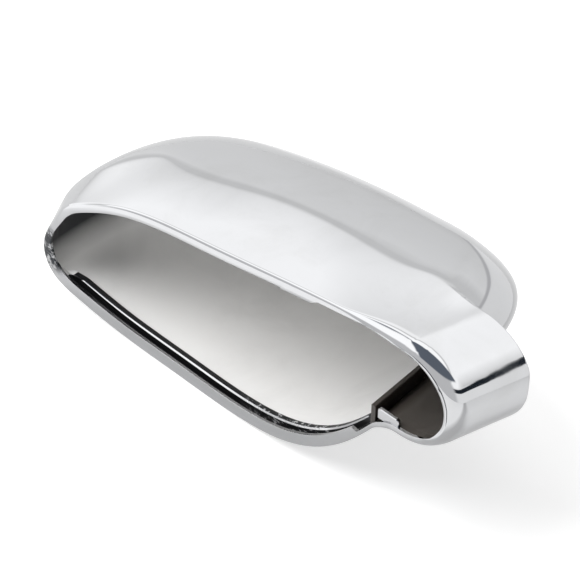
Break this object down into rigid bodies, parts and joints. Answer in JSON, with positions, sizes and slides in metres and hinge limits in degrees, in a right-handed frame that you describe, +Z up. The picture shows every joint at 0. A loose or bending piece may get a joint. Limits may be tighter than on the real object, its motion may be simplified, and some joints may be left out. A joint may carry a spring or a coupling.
{
  "type": "wing mirror cover",
  "caption": "Chrome-plated clip-on wing mirror cover: a deep hollow shell with a sliced upper facet, an inward lip round its open mouth and a half-round stub-arm channel.",
  "frame": {"origin": "bottom centre of the cover's box, on the floor that its lower wall lies on", "axes": "+X along the cover from its pointed tip to the stub arm, -Y out of the open mouth, +Z up"},
  "size_m": [0.253, 0.0962, 0.1137],
  "materials": {
    "chrome_plating": "bright chrome plating on moulded ABS, satin inside"
  },
  "bodies": {
    "root": {"mirror_cover_shell": "chrome_plating"}
  },
  "joints": []
}
